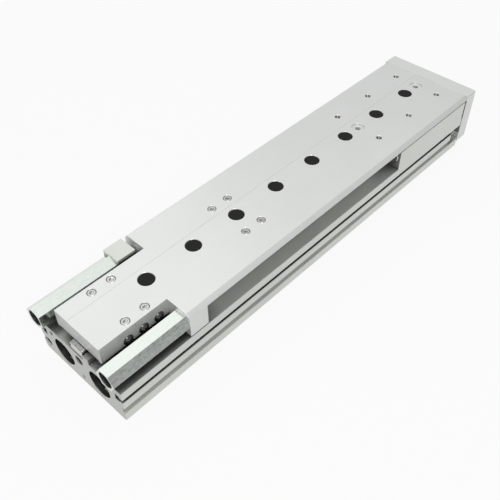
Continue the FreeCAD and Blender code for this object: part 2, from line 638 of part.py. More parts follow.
# Table: a hat profile with thin wings, hanging stop lugs and a solid front
wing_top = f"({TABLE_TOP} - wing_bevel)"
bevel_inner = f"({HALF_WIDTH} - wing_bevel)"
half_hat = [("band_width / 2", BAND_TOP), ("band_width / 2", TABLE_TOP), (bevel_inner, TABLE_TOP)]
half_hat += [(HALF_WIDTH, wing_top), (HALF_WIDTH, WING_BOTTOM), (TONGUE_HALF, WING_BOTTOM)]
half_hat += [(TONGUE_HALF, LONG_LEG_BOTTOM), (CHANNEL_HALF, LONG_LEG_BOTTOM), (CHANNEL_HALF, ROOF)]
mirrored_hat = [(f"-{across}", up) for across, up in reversed(half_hat)]
table = new_body("Table")
profile = sketch_on(table, "YZ_Plane", TABLE_REAR)
outline(profile, half_hat + mirrored_hat)
pad(table, profile, f"{TABLE_FRONT} - {TABLE_REAR}")

front_start = f"({TABLE_FRONT} - front_block_length)"
front_half = "(front_block_width / 2)"
half_channel = "(rail_width / 2 + shoulder_width + channel_clearance)"
front_roof = f"({TABLE_TOP} - front_roof)"
front_points = [(half_channel, front_roof), (half_channel, LEG_BOTTOM), (front_half, LEG_BOTTOM)]
front_points += [(front_half, WING_BOTTOM)]
mirrored_front = [(f"-{across}", up) for across, up in reversed(front_points)]
solid_front = sketch_on(table, "YZ_Plane", front_start)
outline(solid_front, front_points + mirrored_front)
pad(table, solid_front, "front_block_length")
rear_lip = sketch_on(table, "YZ_Plane", TABLE_REAR)
rectangle(rear_lip, (f"-{CHANNEL_HALF}", f"{ROOF} - lip_drop"), (CHANNEL_HALF, ROOF))
pad(table, rear_lip, "lip_thickness")
for lug_rear, outer, inner in ((STOP_REAR, f"-{HALF_WIDTH}", f"-{TONGUE_HALF}"),
                               (LEFT_LUG_REAR, TONGUE_HALF, HALF_WIDTH)):
    lug = sketch_on(table, "YZ_Plane", lug_rear)
    rectangle(lug, (outer, LEG_BOTTOM), (inner, WING_BOTTOM))
    pad(table, lug, "stop_length")
notches = sketch_on(table, "XY_Plane", TABLE_TOP)
rectangle(notches, (TABLE_REAR, f"-{HALF_WIDTH}"), (STOP_REAR, f"-{TONGUE_HALF}"))
rectangle(notches, (TABLE_REAR, TONGUE_HALF), (LEFT_LUG_REAR, HALF_WIDTH))
pocket(table, notches, "wing_thickness")

plug_hole = sketch_on(table, "XY_Plane", TABLE_TOP)
circles(plug_hole, [(f"{REAR} + rail_first", "0")], "plug_diameter")
first_plug_hole = pocket(table, plug_hole, "front_roof")
row_along_x(table, first_plug_hole, "rail_pitch", "rail_screw_count")
screw_half = "carriage_screw_length / 2"
screw_side = f"({CARRIAGE_HALF} - carriage_screw_edge)"
carriage_middles = (REAR_CARRIAGE, FRONT_CARRIAGE)
carriage_holes = four_corners(screw_half, screw_side, REAR_CARRIAGE)
carriage_holes += four_corners(screw_half, screw_side, FRONT_CARRIAGE)
for diameter, depth in (("carriage_screw_shank + head_room", "roof_thickness"),
                        ("carriage_screw_head + head_room", "carriage_screw_head_height + head_room")):
    screw_seats = sketch_on(table, "XY_Plane", TABLE_TOP)
    circles(screw_seats, carriage_holes, diameter)
    pocket(table, screw_seats, depth)

last_load = f"{TABLE_FRONT} - load_first"
load_rows = [last_load, f"{last_load} - load_pitch", f"{last_load} - 2 * load_pitch"]
load_spots = [(along, across) for along in load_rows for across in both_sides("load_width / 2")]
load_threads = sketch_on(table, "XY_Plane", TABLE_TOP)
circles(load_threads, load_spots, "load_core")
pocket(table, load_threads, "load_depth")
centring_places = [(load_rows[0], "0"), (load_rows[2], "0")]
for diameter, depth in (("centring_bore", "centring_depth"), ("centring_core", "centring_core_depth")):
    centring = sketch_on(table, "XY_Plane", BAND_TOP)
    circles(centring, centring_places, diameter)
    pocket(table, centring, depth)

clamp_middle = f"{REAR_CARRIAGE} + clamp_screw_shift"
clamp_places = [f"{clamp_middle} + {step} * clamp_screw_pitch" for step in (-1, 0, 1)]
clamp_holes = sketch_on(table, "XZ_Plane", TONGUE_HALF)
circles(clamp_holes, [(along, CLAMP_Z) for along in clamp_places], "clamp_screw_shank")
pocket(table, clamp_holes, "leg_thickness")
lug_bore = sketch_on(table, "YZ_Plane", STOP_REAR)
circles(lug_bore, [(f"-{STOP_Y}", STOP_AXIS)], "spigot_diameter")
pocket(table, lug_bore, "stop_length", reverse=True)
yoke_heights = ("deck_height + yoke_screw_low", "deck_height + yoke_screw_high")
yoke_screw_spots = [(across, up) for across in both_sides("yoke_screw_width / 2") for up in yoke_heights]
yoke_threads = sketch_on(table, "YZ_Plane", TABLE_FRONT)
circles(yoke_threads, yoke_screw_spots, "yoke_screw_shank")
pocket(table, yoke_threads, "yoke_screw_bite + head_room")
node(table, "table")

plug_points = [("0", "0"), ("plug_diameter / 2 - plug_bevel", "0"), ("plug_diameter / 2", "-plug_bevel")]
plug_points += [("plug_diameter / 2", "-plug_thickness"), ("0", "-plug_thickness")]
plug = turned("Plug", plug_points, "V_Axis")
group("hole_plugs", plug, [(along, "0", f"{BAND_TOP} - plug_sink") for along in row_places])

# Yoke plate that ties the two rods to the table
yoke = new_body("YokePlate")
yoke_low = "yoke_ground"
half_yoke = [(f"{HALF_WIDTH} - yoke_top_corner", TABLE_TOP), (HALF_WIDTH, f"{TABLE_TOP} - yoke_top_corner")]
half_yoke += [(HALF_WIDTH, f"{yoke_low} + yoke_corner"), (f"{HALF_WIDTH} - yoke_corner", yoke_low)]
mirrored_yoke = [(f"-({across})", up) for across, up in reversed(half_yoke)]
profile = sketch_on(yoke, "YZ_Plane", TABLE_FRONT)
outline(profile, half_yoke + mirrored_yoke)
pad(yoke, profile, "yoke_thickness")
yoke_front = f"({TABLE_FRONT} + yoke_thickness)"
head_sink = "(yoke_screw_head_height + head_room)"
all_yoke_spots = yoke_screw_spots + bore_centres
for diameter, depth in (("yoke_screw_shank + head_room", "yoke_thickness"),
                        ("yoke_screw_head + head_room", head_sink)):
    screw_seats = sketch_on(yoke, "YZ_Plane", yoke_front)
    circles(screw_seats, all_yoke_spots, diameter)
    pocket(yoke, screw_seats, depth)
node(yoke, "yoke_plate")

screw_reach = "yoke_thickness - yoke_screw_head_height - head_room + yoke_screw_bite"
yoke_screw = socket_screw("YokeScrew", "yoke_screw", screw_reach)
head_top = f"{yoke_front} - head_room"
group("yoke_screws", yoke_screw, [(head_top, across, up) for across, up in yoke_screw_spots], ALONG_X)
group("rod_screws", yoke_screw, [(head_top, across, up) for across, up in bore_centres], ALONG_X)

# Carriages: a steel saddle on the rail, plastic end caps, rubber wipers and the loaded balls


def saddle(name, half, bottom, top, side_gap, top_gap, length):
    """Make a block along X that straddles the rail."""
    inner = f"(rail_width / 2 + {side_gap})"
    crown = f"({RAIL_TOP} + {top_gap})"
    points = [(inner, crown), (inner, bottom), (half, bottom), (half, top)]
    points += [(f"-{across}", up) for across, up in reversed(points)]
    body = new_body(name)
    sketch = sketch_on(body, "YZ_Plane")
    outline(sketch, points)
    pad(body, sketch, length)
    return body


for label, middle in (("rear_carriage", REAR_CARRIAGE), ("front_carriage", FRONT_CARRIAGE)):
    carriage = saddle(label.title().replace("_", ""), CARRIAGE_HALF, CARRIAGE_BOTTOM, ROOF,
                      "rail_side_gap", "rail_top_gap", "carriage_length")
    tracks = sketch_on(carriage, "YZ_Plane")
    circles(tracks, track_centres, TRACK_DIAMETER)
    pocket(carriage, tracks, reverse=True)
    threads = sketch_on(carriage, "XY_Plane", ROOF)
    thread_spots = four_corners(screw_half, screw_side, "carriage_length / 2")
    circles(threads, thread_spots, "carriage_screw_shank")
    pocket(carriage, threads, "carriage_screw_reach + head_room")
    node(place(carriage, f"{middle} - carriage_length / 2"), label)

cap_half = f"({CARRIAGE_HALF} - end_cap_inset)"
cap_bottom = f"({CARRIAGE_BOTTOM} + end_cap_inset)"
cap_top = f"({ROOF} - end_cap_inset)"
cap_shape = (cap_half, cap_bottom, cap_top)
end_cap = saddle("EndCap", *cap_shape, "rail_side_gap", "rail_top_gap", "end_cap_length")
wiper = saddle("Wiper", *cap_shape, "wiper_gap", "wiper_gap", "wiper_thickness")
cap_places = []
wiper_places = []
for middle in carriage_middles:
    rear_end = f"{middle} - carriage_length / 2 - end_cap_length"
    front_end = f"{middle} + carriage_length / 2"
    cap_places += [(rear_end,), (front_end,)]
    wiper_places += [(f"{rear_end} - wiper_thickness",), (f"{front_end} + end_cap_length",)]
group("carriage_end_caps", end_cap, cap_places)
group("carriage_wipers", wiper, wiper_places)

guide_ball = doc.addObject("Part::Sphere", "GuideBall")
bind(guide_ball, "Radius", "ball_diameter / 2")
ball_steps = [f"({index} - (ball_count - 1) / 2) * ball_pitch" for index in range(int(sheet.ball_count))]
ball_places = [(f"{middle} + {step}", across, TRACK_Z)
               for middle in carriage_middles for step in ball_steps for across in both_sides(TRACK_Y)]
group("guide_balls", guide_ball, ball_places)

shank_length = "roof_thickness - carriage_screw_head_height - head_room + carriage_screw_reach"
carriage_screw = socket_screw("CarriageScrew", "carriage_screw", shank_length)
screw_top = f"{TABLE_TOP} - head_room"
group("carriage_screws", carriage_screw, [(along, across, screw_top) for along, across in carriage_holes])

# Side clamp screws: domed heads on the right of the tongue, tips against the rear carriage
clamp_shank = "(leg_thickness + carriage_side_gap)"
dome_radius = "((clamp_screw_head ^ 2 / 4 + clamp_screw_dome ^ 2) / (2 * clamp_screw_dome))"
dome = doc.addObject("Part::Sphere", "ClampDome")
bind(dome, "Radius", dome_radius)
place(dome, z=f"clamp_screw_dome - {dome_radius}")
dome_limit = doc.addObject("Part::Cylinder", "ClampDomeLimit")
bind(dome_limit, "Radius", "clamp_screw_head / 2")
bind(dome_limit, "Height", "clamp_screw_dome")
dome_head = doc.addObject("Part::Common", "ClampHead")
dome_head.Base = dome
dome_head.Tool = dome_limit
clamp_stem = doc.addObject("Part::Cylinder", "ClampStem")
bind(clamp_stem, "Radius", "clamp_screw_shank / 2")
bind(clamp_stem, "Height", clamp_shank)
place(clamp_stem, z=f"-{clamp_shank}")
clamp_blank = doc.addObject("Part::Fuse", "ClampBlank")
clamp_blank.Base = dome_head
clamp_blank.Tool = clamp_stem
clamp_socket = doc.addObject("Part::Prism", "ClampSocket")
clamp_socket.Polygon = 6
bind(clamp_socket, "Circumradius", "clamp_screw_socket / sqrt(3)")
bind(clamp_socket, "Height", "clamp_screw_dome")
place(clamp_socket, z="clamp_screw_dome - clamp_screw_socket_depth")
clamp_screw = doc.addObject("Part::Cut", "ClampScrew")
clamp_screw.Base = clamp_blank
clamp_screw.Tool = clamp_socket
clamp_spots = [(along, f"-{TONGUE_HALF}", CLAMP_Z) for along in clamp_places]
group("side_clamp_screws", clamp_screw, clamp_spots, TO_RIGHT)

# End stops: a hexagon sleeve in each stop block, with a cushion pin, spring and adjusting screw inside
guide_bore = "(pin_diameter / 2 + running_clearance)"
head_play = "running_clearance"


def stop_set(label, across, length, clocking):
    """Build one end stop and return its sleeve, pin, spring and adjusting screw."""
    title = label.title()
    sleeve_rear = f"({STOP_REAR} - {length})"
    wall_face = f"({STOP_REAR} - sleeve_wall)"
    head_rear = f"({wall_face} - {head_play} - pin_head_length)"
    spring_rear = f"({head_rear} - spring_length)"

    sleeve = new_body(f"{title}StopSleeve")
    hexagon_outline = sketch_on(sleeve, "XY_Plane")
    hexagon(hexagon_outline, "sleeve_flats")
    pad(sleeve, hexagon_outline, length)
    spigot_outline = sketch_on(sleeve, "XY_Plane", length)
    circles(spigot_outline, [("0", "0")], "spigot_diameter")
    pad(sleeve, spigot_outline, "spigot_length")
    hollow = sketch_on(sleeve, "XY_Plane")
    circles(hollow, [("0", "0")], "sleeve_bore")
    pocket(sleeve, hollow, f"{length} - sleeve_wall", reverse=True)
    guide = sketch_on(sleeve, "XY_Plane")
    circles(guide, [("0", "0")], f"2 * {guide_bore}")
    pocket(sleeve, guide, reverse=True)
    turn = ALONG_X.multiply(FreeCAD.Rotation(FreeCAD.Vector(0, 0, 1), FLAT_ON_TOP + clocking))
    place(sleeve, sleeve_rear, across, STOP_AXIS, turn)
    node(sleeve, f"{label}_stop_sleeve")

    tip = f"{PIN_TIP} - {head_rear}"
    pin_points = [("0", "0"), ("0", "pin_head / 2"), ("pin_head_length", "pin_head / 2")]
    nose_rear = f"({tip} - pin_nose_length)"
    nose_radius = "(spigot_diameter / 2 - pin_nose_clearance)"
    pin_points += [("pin_head_length", "pin_diameter / 2"), (nose_rear, "pin_diameter / 2")]
    pin_points += [(nose_rear, nose_radius), (f"{tip} - pin_nose_bevel", nose_radius)]
    pin_points += [(tip, f"{nose_radius} - pin_nose_bevel"), (tip, "0")]
    pin = turned(f"{title}StopPin", pin_points)
    node(place(pin, head_rear, across, STOP_AXIS), f"{label}_cushion_pin")

    coil = doc.addObject("Part::Helix", f"{title}SpringCoil")
    bind(coil, "Radius", "spring_mean / 2")
    bind(coil, "Height", "spring_length - spring_wire")
    bind(coil, "Pitch", "(spring_length - spring_wire) / spring_turns")
    wire = doc.addObject("Part::Circle", f"{title}SpringWire")
    bind(wire, "Radius", "spring_wire / 2")
    place(wire, "spring_mean / 2", turn=TO_RIGHT)
    spring = doc.addObject("Part::Sweep", f"{title}Spring")
    spring.Sections = [wire]
    spring.Spine = (coil, [])
    spring.Solid = True
    spring.Frenet = True
    place(spring, f"{spring_rear} + spring_wire / 2", across, STOP_AXIS, ALONG_X)
    node(spring, f"{label}_cushion_spring")

    adjuster = new_body(f"{title}Adjuster")
    disc = sketch_on(adjuster, "XY_Plane")
    circles(disc, [("0", "0")], "sleeve_bore")
    pad(adjuster, disc, "adjuster_length")
    socket = sketch_on(adjuster, "XY_Plane")
    hexagon(socket, "adjuster_socket")
    pocket(adjuster, socket, "adjuster_socket_depth", reverse=True)
    place(adjuster, f"{spring_rear} - adjuster_length", across, STOP_AXIS, ALONG_X)
    node(adjuster, f"{label}_adjusting_screw")


stop_set("retraction", STOP_Y, "left_sleeve_length", float(sheet.left_sleeve_clocking))
stop_set("extension", f"-{STOP_Y}", "right_sleeve_length", 0.0)

stop_pad_points = [("0", "0"), ("0", "pad_diameter / 2"), ("pad_stand", "pad_diameter / 2")]
stop_pad_points += [("pad_stand", "pad_shank / 2"), ("pad_stand + pad_shank_length", "pad_shank / 2")]
stop_pad_points += [("pad_stand + pad_shank_length", "0")]
stop_pad = turned("StopPad", stop_pad_points)
node(place(stop_pad, PAD_FACE, f"-{STOP_Y}", STOP_AXIS), "stop_pad")

doc.recompute()
for thing in doc.Objects:
    if "Invalid" in thing.State or "Error" in thing.State:
        raise RuntimeError(f"{thing.Label} failed: {thing.State}")
for thing in parts:
    if thing.Shape.isNull() or not thing.Shape.isValid():
        raise RuntimeError(f"{thing.Label} has no valid shape")

os.makedirs("parts", exist_ok=True)
for thing in parts:
    thing.Shape.exportStep(f"parts/{thing.Label}.step")
    box = thing.Shape.BoundBox
    print(f"{thing.Label}: {len(thing.Shape.Solids)} solids, x {box.XMin:.1f} to {box.XMax:.1f}")
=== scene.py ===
# %% [markdown]
# # A pneumatic mini slide, dressed for its portrait
# The imported solids already have the right sizes and places, so nothing here is moved or scaled.
# This lesson adds what the eye looks for on the real slide: finishes, broken edges, threads, springs,
# light and a camera. All pieces are in metres. X runs out towards the yoke plate, Y to the left side and
# Z up.

# %% Load the imported solids
import json
import math

import bmesh
import bpy
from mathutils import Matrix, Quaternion, Vector


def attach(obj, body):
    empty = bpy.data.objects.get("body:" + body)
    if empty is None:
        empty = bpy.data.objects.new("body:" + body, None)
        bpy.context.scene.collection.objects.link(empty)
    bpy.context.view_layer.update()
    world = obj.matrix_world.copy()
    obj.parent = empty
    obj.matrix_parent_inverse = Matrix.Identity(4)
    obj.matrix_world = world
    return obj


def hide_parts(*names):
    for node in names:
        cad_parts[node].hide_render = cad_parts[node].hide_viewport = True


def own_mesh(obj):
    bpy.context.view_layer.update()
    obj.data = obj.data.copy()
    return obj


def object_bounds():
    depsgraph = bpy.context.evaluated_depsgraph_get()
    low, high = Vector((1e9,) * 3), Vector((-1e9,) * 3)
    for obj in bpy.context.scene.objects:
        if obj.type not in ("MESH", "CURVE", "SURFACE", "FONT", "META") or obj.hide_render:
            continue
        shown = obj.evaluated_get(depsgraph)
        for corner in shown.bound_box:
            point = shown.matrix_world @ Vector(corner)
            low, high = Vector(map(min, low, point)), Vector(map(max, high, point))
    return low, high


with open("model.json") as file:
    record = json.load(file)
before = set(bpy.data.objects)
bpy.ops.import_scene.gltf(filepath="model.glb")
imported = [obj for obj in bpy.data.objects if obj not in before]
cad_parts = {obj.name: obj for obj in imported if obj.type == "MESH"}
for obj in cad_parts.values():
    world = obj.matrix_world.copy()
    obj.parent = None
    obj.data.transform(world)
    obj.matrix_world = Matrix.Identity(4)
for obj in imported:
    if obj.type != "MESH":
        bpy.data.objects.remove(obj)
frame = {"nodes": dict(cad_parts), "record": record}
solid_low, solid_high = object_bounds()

MM = 0.001
nodes = frame["nodes"]
body_of_node = {node: body for body, members in frame["record"]["behaviour"]["bodies"].items()
                for node in members}
slot_of_node = {part["node"]: part["material_slot"] for part in frame["record"]["subparts"]}

# %% [markdown]
# ## Colours and nodes
# A finish is a small graph of shader nodes, and a few helpers keep the graphs short. One turns the sRGB hex
# value that a person would pick into the linear colour that the renderer wants, and one adds a node with
# its settings and its links in a single call. The last one darkens a finish where a mask says so; it
# paints shade into the groove, the corners and the rear ends, and darkens the bore walls.

# %% Colour and node helpers
NOISE_LOW, NOISE_HIGH = 0.3, 0.7    # most values of a noise texture lie between these


def linear(hex_colour):
    """Turn an sRGB hex colour into a linear colour with full opacity."""
    shares = [int(hex_colour[place:place + 2], 16) / 255 for place in (1, 3, 5)]
    return [s / 12.92 if s <= 0.04045 else ((s + 0.055) / 1.055) ** 2.4 for s in shares] + [1.0]


def add(tree, kind, inputs=None, **settings):
    """Add one node, set its fields, and set or link its inputs by name or number."""
    made = tree.nodes.new(kind)
    for field, value in settings.items():
        setattr(made, field, value)
    for socket, value in (inputs or {}).items():
        if isinstance(value, bpy.types.NodeSocket):
            tree.links.new(value, made.inputs[socket])
        else:
            made.inputs[socket].default_value = value
    return made


def new_finish(name):
    """Start a finish: its node tree, its shader and a point in millimetres on the piece."""
    finish = bpy.data.materials.new(name)
    finish.use_nodes = True
    tree = finish.node_tree
    shader = tree.nodes["Principled BSDF"]
    place = add(tree, "ShaderNodeTexCoord").outputs["Object"]
    millimetres = add(tree, "ShaderNodeMapping", {"Vector": place, "Scale": (1000, 1000, 1000)})
    return finish, tree, shader, millimetres.outputs["Vector"]


def dim(finish, share):
    """Scale the colour that a finish has so far by a share, which is a socket in its tree."""
    tree = finish.node_tree
    colour = tree.nodes["Principled BSDF"].inputs["Base Color"]
    dimmed = add(tree, "ShaderNodeVectorMath", {0: colour.links[0].from_socket, "Scale": share},
                 operation="SCALE")
    tree.links.new(dimmed.outputs[0], colour)


print("helpers ready")

# %% [markdown]
# ## Anodised aluminium
# The housing is an extrusion and the table is a fine-ground plate, both clear anodised. Anodising leaves
# a satin metal: light, nearly neutral, with soft reflections. The etched oxide scatters part of the light
# before it meets the metal, so metallic stays below 1. The die or the grinding wheel leaves very fine lines
# along the slide, so a noise is stretched along X. A photograph of brushed metal would do this too, but a
# stretched noise needs no image and keeps its real scale from any distance.

# %% Aluminium finishes
LINE_SPACING = 0.5    # mm between grinding lines, drawn coarser than the real 0.1 mm so that they show
LINE_LENGTH = 30      # mm that one line keeps its tone
CLOUD_SIZE = 45       # mm across a soft change of tone in the oxide layer
GLOSS_SPREAD = 0.05   # roughness that a line adds or takes away


def lined_aluminium(name, dark, light, roughness, line_depth, metallic):
    """Anodised aluminium with fine lines along X and a slow change of tone."""
    finish, tree, shader, point = new_finish(name)
    stretch = (1 / LINE_LENGTH, 1 / LINE_SPACING, 1 / LINE_SPACING)
    along = add(tree, "ShaderNodeMapping", {"Vector": point, "Scale": stretch})
    lines = add(tree, "ShaderNodeTexNoise", {"Vector": along.outputs[0], "Scale": 1.0, "Detail": 3.0})
    clouds = add(tree, "ShaderNodeTexNoise", {"Vector": point, "Scale": 1 / CLOUD_SIZE, "Detail": 2.0})
    mixed = add(tree, "ShaderNodeMath", {0: lines.outputs[0], 1: clouds.outputs[0]}, operation="ADD")
    tone = add(tree, "ShaderNodeMapRange", {"Value": mixed.outputs[0],
                                            "From Min": 2 * NOISE_LOW, "From Max": 2 * NOISE_HIGH})
    ramp = add(tree, "ShaderNodeValToRGB", {"Fac": tone.outputs[0]})
    ramp.color_ramp.elements[0].color = linear(dark)
    ramp.color_ramp.elements[1].color = linear(light)
    gloss = add(tree, "ShaderNodeMapRange", {"Value": lines.outputs[0],
                                             "From Min": NOISE_LOW, "From Max": NOISE_HIGH,
                                             "To Min": roughness - GLOSS_SPREAD,
                                             "To Max": roughness + GLOSS_SPREAD})
    relief = add(tree, "ShaderNodeBump", {"Height": lines.outputs[0], "Strength": 0.12,
                                          "Distance": line_depth * MM})
    shader.inputs["Metallic"].default_value = metallic
    tree.links.new(ramp.outputs[0], shader.inputs["Base Color"])
    tree.links.new(gloss.outputs[0], shader.inputs["Roughness"])
    tree.links.new(relief.outputs[0], shader.inputs["Normal"])
    return finish


ground_aluminium = lined_aluminium("ground_anodised_aluminium", "#d1d3d1", "#d7d8d7", 0.34, 0.006, 0.4)
milled_aluminium = lined_aluminium("milled_anodised_aluminium", "#d5d7d5", "#dbdddb", 0.34, 0.01, 0.4)
extruded_aluminium = lined_aluminium("extruded_anodised_aluminium", "#c5c7c2", "#d1d3cd", 0.33, 0.03, 0.7)
turned_aluminium = lined_aluminium("turned_anodised_aluminium", "#b9bbba", "#cfd1cf", 0.36, 0.02, 0.9)
print("aluminium finishes:", ground_aluminium.name, milled_aluminium.name, extruded_aluminium.name,
      turned_aluminium.name)

# %% [markdown]
# ## Painted shade in the groove
# A shallow groove runs along each side of the extrusion, and its floor lies in the shade of its upper lip.
# It could be a second finish on picked faces; here the extruded finish is simply scaled down where a point
# lies on that floor, so the painted shade ends exactly where the groove does. It is darkest under the lip
# and lighter towards the lower edge.

# %% Paint shade on the floor of the side groove
GROOVE_FLOOR = 39.8     # mm from the centre plane to the groove's floor
FLOOR_MARGIN = 0.5      # mm either way within which a point counts as on that floor
GROOVE_MIDDLE = 11.15   # mm above the base
GROOVE_HALF = 2.3       # mm from the groove's middle to its edge
GROOVE_SHADE_BELOW, GROOVE_SHADE_ABOVE = 0.62, 0.40    # share of the colour that the painted shade leaves at its lower and its upper edge
tree = extruded_aluminium.node_tree
place = add(tree, "ShaderNodeTexCoord").outputs["Object"]
axes = add(tree, "ShaderNodeSeparateXYZ", {0: place}).outputs
out_from_centre = add(tree, "ShaderNodeMath", {0: axes["Y"]}, operation="ABSOLUTE").outputs[0]
on_floor = add(tree, "ShaderNodeMath", {0: out_from_centre, 1: GROOVE_FLOOR * MM, 2: FLOOR_MARGIN * MM},
               operation="COMPARE")
in_height = add(tree, "ShaderNodeMath", {0: axes["Z"], 1: GROOVE_MIDDLE * MM, 2: GROOVE_HALF * MM},
                operation="COMPARE")
in_groove = add(tree, "ShaderNodeMath", {0: on_floor.outputs[0], 1: in_height.outputs[0]},
                operation="MULTIPLY")
# painted shade, darkest under the groove's upper lip
groove_shade = add(tree, "ShaderNodeMapRange", {"Value": axes["Z"], "To Min": GROOVE_SHADE_BELOW, "To Max": GROOVE_SHADE_ABOVE,
                                        "From Min": (GROOVE_MIDDLE - GROOVE_HALF) * MM,
                                        "From Max": (GROOVE_MIDDLE + GROOVE_HALF) * MM})
share = add(tree, "ShaderNodeMix", {"Factor": in_groove.outputs[0], "A": 1.0, "B": groove_shade.outputs[0]})
dim(extruded_aluminium, share.outputs[0])
print(f"groove darkened {GROOVE_HALF} mm either side of {GROOVE_MIDDLE} mm above the base")

# %% [markdown]
# ## Hard cylinder bores
# The pistons run straight on the aluminium, so the two bores are hard anodised, and that thick oxide is dark
# grey. The same trick as in the groove serves: a point closer to a bore's axis than its radius is on the
# bore's wall, and there the colour is scaled down nearly to black, which is the dark oxide and also painted
# shade deep in the bore. The mouth was turned last, so its chamfer stays bright.

# %% Darken the walls of the cylinder bores
BORE_AXIS = (17.5, 14.5)   # mm out from the centre plane and above the base
BORE_RADIUS = 10.0         # mm
WALL_MARGIN = 0.05         # mm beyond the radius within which a point counts as on the wall
BRIGHT_MOUTH = -182.95     # mm along X to the end of the bright mouth
BORE_OXIDE_AND_SHADE = 0.12          # share of the colour left: the dark oxide, and painted shade deep in the bore
spot = add(tree, "ShaderNodeCombineXYZ", {"X": out_from_centre, "Y": axes["Z"]})
axis = [BORE_AXIS[0] * MM, BORE_AXIS[1] * MM, 0]
reach = add(tree, "ShaderNodeVectorMath", {0: spot.outputs[0], 1: axis}, operation="DISTANCE")
on_wall = add(tree, "ShaderNodeMath", {0: reach.outputs["Value"], 1: (BORE_RADIUS + WALL_MARGIN) * MM},
              operation="LESS_THAN")
inside = add(tree, "ShaderNodeMath", {0: axes["X"], 1: BRIGHT_MOUTH * MM}, operation="GREATER_THAN")
in_bore = add(tree, "ShaderNodeMath", {0: on_wall.outputs[0], 1: inside.outputs[0]}, operation="MULTIPLY")
# dark hard oxide, and painted shade deep inside the bore
share = add(tree, "ShaderNodeMapRange", {"Value": in_bore.outputs[0], "To Min": 1.0, "To Max": BORE_OXIDE_AND_SHADE})
dim(extruded_aluminium, share.outputs[0])
print(f"bore walls darkened to {BORE_OXIDE_AND_SHADE:.0%}")

# %% [markdown]
# ## Painted shade in corners
# The sensor slots, the gap behind the yoke and the deck close under the stop sleeves see little of the
# room, so they lie in shade. An ambient occlusion node finds these places on the housing and the yoke and
# darkens the colour there, so that this painted shade follows the shape by itself.

# %% Paint shade into the corners
CORNER_REACH = 14     # mm over which a neighbour shields a surface; lower than this, the floor would too
CORNER_TOP = 46       # mm above the base, beyond which no painted shade is put
CORNER_RAYS = 8       # rays that look for neighbours
CORNER_DEPTH = 1.5    # power that deepens the painted shade towards the inside of a corner
for finish in (extruded_aluminium, milled_aluminium):
    tree = finish.node_tree
    place = add(tree, "ShaderNodeTexCoord").outputs["Object"]
    height = add(tree, "ShaderNodeSeparateXYZ", {0: place}).outputs["Z"]
    # painted shade: the colour is darkened where neighbours shield a surface from the room
    seen = add(tree, "ShaderNodeAmbientOcclusion", {"Distance": CORNER_REACH * MM}, samples=CORNER_RAYS)
    corner_shade = add(tree, "ShaderNodeMath", {0: seen.outputs["AO"], 1: CORNER_DEPTH}, operation="POWER")
    low_down = add(tree, "ShaderNodeMath", {0: height, 1: CORNER_REACH * MM}, operation="LESS_THAN")
    high_up = add(tree, "ShaderNodeMath", {0: height, 1: CORNER_TOP * MM}, operation="GREATER_THAN")
    bright = add(tree, "ShaderNodeMath", {0: low_down.outputs[0], 1: high_up.outputs[0]},
                 operation="MAXIMUM")
    share = add(tree, "ShaderNodeMath", {0: corner_shade.outputs[0], 1: bright.outputs[0]}, operation="MAXIMUM")
    dim(finish, share.outputs[0])
    print(f"{finish.name} dulled in corners within {CORNER_REACH} mm")

# %% [markdown]
# ## Painted shade on the rear ends
# The bar and the table plate are sawn to length and faced off. Their rear ends are scaled down in colour as
# painted shade, so that these faces render darker than the long sides. A mask along X needs no picking of
# faces.

# %% Paint shade on the rear ends
REAR_SHADE = 0.74           # share of the colour that the painted shade on a rear end leaves
BAR_END, PLATE_END = -183.4, -179.9    # mm along X, just in front of the two rear faces
for finish, end in ((extruded_aluminium, BAR_END), (ground_aluminium, PLATE_END)):
    tree = finish.node_tree
    place = add(tree, "ShaderNodeTexCoord").outputs["Object"]
    along = add(tree, "ShaderNodeSeparateXYZ", {0: place}).outputs["X"]
    at_end = add(tree, "ShaderNodeMath", {0: along, 1: end * MM}, operation="LESS_THAN")
    # painted shade on the rear end face
    share = add(tree, "ShaderNodeMapRange", {"Value": at_end.outputs[0], "To Min": 1.0, "To Max": REAR_SHADE})
    dim(finish, share.outputs[0])
    print(f"{finish.name} dulled behind {end} mm")

# %% [markdown]
# ## Steels and bronze
# The stop sleeves are hexagon bar with a zinc coat, whose small crystals mottle it and give a faint green
# cast. Rail, rods and pins are hardened and ground, so they are sharp mirrors. Retaining rings and springs
# are phosphated spring steel, nearly black. Cut threads hold oil, and their finish comes in two copies: a
# dark one with painted shade for the ports and sleeves, and a lighter, lit one for the load holes, which
# open upwards. One recipe with other colours, roughness and spacing of the marks serves them all.

# %% Steel and bronze finishes
SMOOTHER, ROUGHER = 0.04, 0.06    # roughness that a mark takes away or adds
MARK_DEPTH = 0.02                 # mm


def drawn_metal(name, dark, light, roughness, spacing, length):
    """A plain metal with marks that are spacing wide and length long, in mm along X."""
    finish, tree, shader, point = new_finish(name)
    along = add(tree, "ShaderNodeMapping", {"Vector": point, "Scale": (1 / length, 1 / spacing, 1 / spacing)})
    marks = add(tree, "ShaderNodeTexNoise", {"Vector": along.outputs[0], "Scale": 1.0, "Detail": 4.0})
    ramp = add(tree, "ShaderNodeValToRGB", {"Fac": marks.outputs[0]})
    ramp.color_ramp.elements[0].position = NOISE_LOW
    ramp.color_ramp.elements[1].position = NOISE_HIGH
    ramp.color_ramp.elements[0].color = linear(dark)
    ramp.color_ramp.elements[1].color = linear(light)
    gloss = add(tree, "ShaderNodeMapRange", {"Value": marks.outputs[0],
                                             "From Min": NOISE_LOW, "From Max": NOISE_HIGH,
                                             "To Min": roughness - SMOOTHER, "To Max": roughness + ROUGHER})
    relief = add(tree, "ShaderNodeBump", {"Height": marks.outputs[0], "Strength": 0.04,
                                          "Distance": MARK_DEPTH * MM})
    shader.inputs["Metallic"].default_value = 1.0
    tree.links.new(ramp.outputs[0], shader.inputs["Base Color"])
    tree.links.new(gloss.outputs[0], shader.inputs["Roughness"])
    tree.links.new(relief.outputs[0], shader.inputs["Normal"])
    return finish


